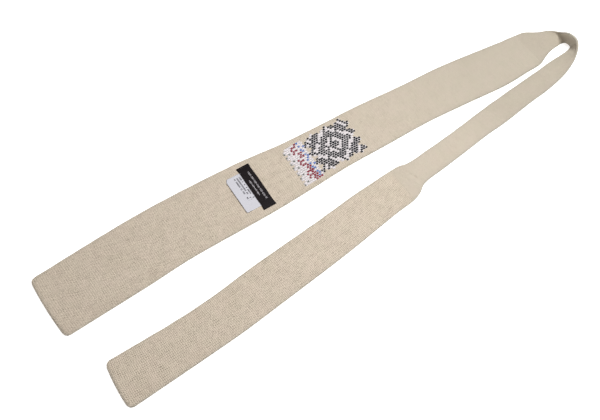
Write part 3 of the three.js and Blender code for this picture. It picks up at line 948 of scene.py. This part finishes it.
def woven_marks():
    """Two rows of plain dashes in pairs, with a short thick one at every third place."""
    centres, wide = [], []
    rows = [(2.0, 20.5, -21.5, 2.1, 1.2), (-2.7, 9.5, -13.0, 1.8, 0.95)]
    share = np.array([-1, -0.6, 0, 0.6, 1])
    for x0, top, bottom, pitch, half in rows:
        for k, y0 in enumerate(np.arange(top, bottom, -pitch)):
            tall = half * (1.0 if k % 3 else 0.45)
            for offset in ((-0.35, 0.35) if k % 3 else (0,)):
                px = x0 + share * tall
                py = y0 + offset * pitch * 0.7 + 0 * px
                centres.append(np.stack([px, py], -1))
                wide.append(0.3 if k % 3 else 0.6)
    centres = np.array(centres)
    ix = (centres[..., 0] / LABEL_WIDTH + 0.5) * (label_x.shape[1] - 1)
    iy = (centres[..., 1] / LABEL_LENGTH + 0.5) * (label_x.shape[0] - 1)
    z = label_z[np.rint(iy).astype(int), np.rint(ix).astype(int)] + 0.45
    points = label_points(centres[..., 0], centres[..., 1], z)
    side_way = np.broadcast_to(np.array([0.0, 1.0, 0.0]), points.shape)
    rise = np.broadcast_to(np.array([0.0, 0.0, 1.0]), points.shape)
    taper = np.array([0.5, 0.95, 1, 0.95, 0.5])
    half_width = np.array(wide)[:, None] * taper[None]
    return tubes("woven_label_marks", points, side_way, rise, half_width, 0.07, woven_mark, 6)


def care_label():
    """Satin tape with one cut corner, its other long side caught under the woven label."""
    rows, columns = 61, 30
    reach, half = CARE_REACH, CARE_HALF
    y = np.linspace(-half, half, rows)[:, None]
    share = np.linspace(0, 1, columns)[None]
    cut = np.clip((y - (half - 4)) / 4, 0, 1) * 2.4
    round_ = 1.2 * np.clip((-y - (half - 1.5)) / 1.5, 0, 1) ** 2
    far = reach - cut - round_
    x = -LABEL_WIDTH / 2 + CARE_TUCK - share * (far + CARE_TUCK + 0.3)
    out = np.clip(-LABEL_WIDTH / 2 - x, 0, None) / reach
    z = 0.05 + 0.75 * out**1.5 + 0.25 * out * np.sin(y / 9 + 1)
    z = z + 0.1 * np.clip(out * 8, 0, 1)
    return sheet_piece("care_label_satin", x, np.broadcast_to(y, x.shape), z, 0.16, satin)


label_bits = [
    (woven_label, "woven_label", "black_ribbon"),
    (folded_end("woven_label_fold_outer", 1), "woven_label", "black_ribbon"),
    (folded_end("woven_label_fold_inner", -1), "woven_label", "black_ribbon"),
    (woven_marks(), "woven_label", "black_ribbon"),
    (tack("label_tack_outer_stitches", 1), "label_tack_outer", "black_thread"),
    (tack("label_tack_inner_stitches", -1), "label_tack_inner", "black_thread"),
]
for piece, node, slot in label_bits:
    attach(piece, "front_blade")
    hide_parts(node)
care = care_label()
hinge = label_points(np.array(-LABEL_WIDTH / 2), np.array(0.0), np.array(0.5))
zone = [tuple((hinge + np.array([dx, 0, 0]) - ORIGIN) * MM) for dx in (0.8, -1.8)]
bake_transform(care)
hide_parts("care_label")

# ---- sheets ----------------------------------------------------------------------------------
# The knit is a flattened tube; the flat size put on each knitted piece, the tube opened out as
# girth by length, is taken off again here.
for piece in (front_blade, *neck_bands, tail_blade):
    del piece["flat"]


# ---- stage, light and camera -----------------------------------------------------------------
FLOOR_HALF = 4.0
FLOOR_GLOW = 0.65
WORLD_STRENGTH = 0.11
SOFTBOX_SIZE = 0.4
CAMERA_AT = (-0.3018, -0.3895, 0.805)
CAMERA_TILT, CAMERA_TURN = math.radians(30), math.radians(-30.81)


def floor():
    """The pale floor, which glows a little so that shadows on it stay light."""
    mesh = bpy.data.meshes.new("floor")
    size = FLOOR_HALF
    corners = [(-size, -size, 0), (size, -size, 0), (size, size, 0), (-size, size, 0)]
    mesh.from_pydata(corners, [], [(0, 1, 2, 3)])
    g = Graph("floor paper", 0.9, 0.1)
    g.shader.inputs["Emission Color"].default_value = (1, 1, 1, 1)
    g.shader.inputs["Emission Strength"].default_value = FLOOR_GLOW
    place = g.object_place()
    grain = g.noise(place, 300, 3)
    tone = g.mix(g.math("MULTIPLY", grain, 0.1), (0.84, 0.84, 0.84, 1), (0.8, 0.8, 0.8, 1))
    mesh.materials.append(g.finish(tone, g.bump(grain, 0.05, 0.0001)))
    plane = bpy.data.objects.new("floor", mesh)
    bpy.context.scene.collection.objects.link(plane)


def area_light(name, position, target, size, power, colour=(1, 1, 1)):
    data = bpy.data.lights.new(name, "AREA")
    data.shape = "DISK"
    data.size = size
    data.energy = power
    data.color = colour
    lamp = bpy.data.objects.new(name, data)
    lamp.location = position
    aim = Vector(target) - Vector(position)
    lamp.rotation_euler = aim.to_track_quat("-Z", "Y").to_euler()
    bpy.context.scene.collection.objects.link(lamp)


floor()
area_light("right softbox", (0.3, -0.08, 0.87), (0, 0.12, 0), SOFTBOX_SIZE, 9.4)
area_light("left softbox", (-0.5, 0.05, 0.75), (-0.2, 0.03, 0), SOFTBOX_SIZE, 1.9,
           (1, 0.94, 0.91))
world = bpy.data.worlds.new("studio")
world.use_nodes = True
world.node_tree.nodes["Background"].inputs[0].default_value = (1, 1, 1, 1)
world.node_tree.nodes["Background"].inputs[1].default_value = WORLD_STRENGTH
bpy.context.scene.world = world
bpy.context.scene.view_settings.view_transform = "Standard"

camera_data = bpy.data.cameras.new("camera")
camera_data.lens = 50
camera_data.sensor_width = 36
camera_data.clip_start = 0.01
camera = bpy.data.objects.new("camera", camera_data)
camera.location = CAMERA_AT
camera.rotation_euler = (CAMERA_TILT, 0, CAMERA_TURN)
bpy.context.scene.collection.objects.link(camera)
bpy.context.scene.camera = camera
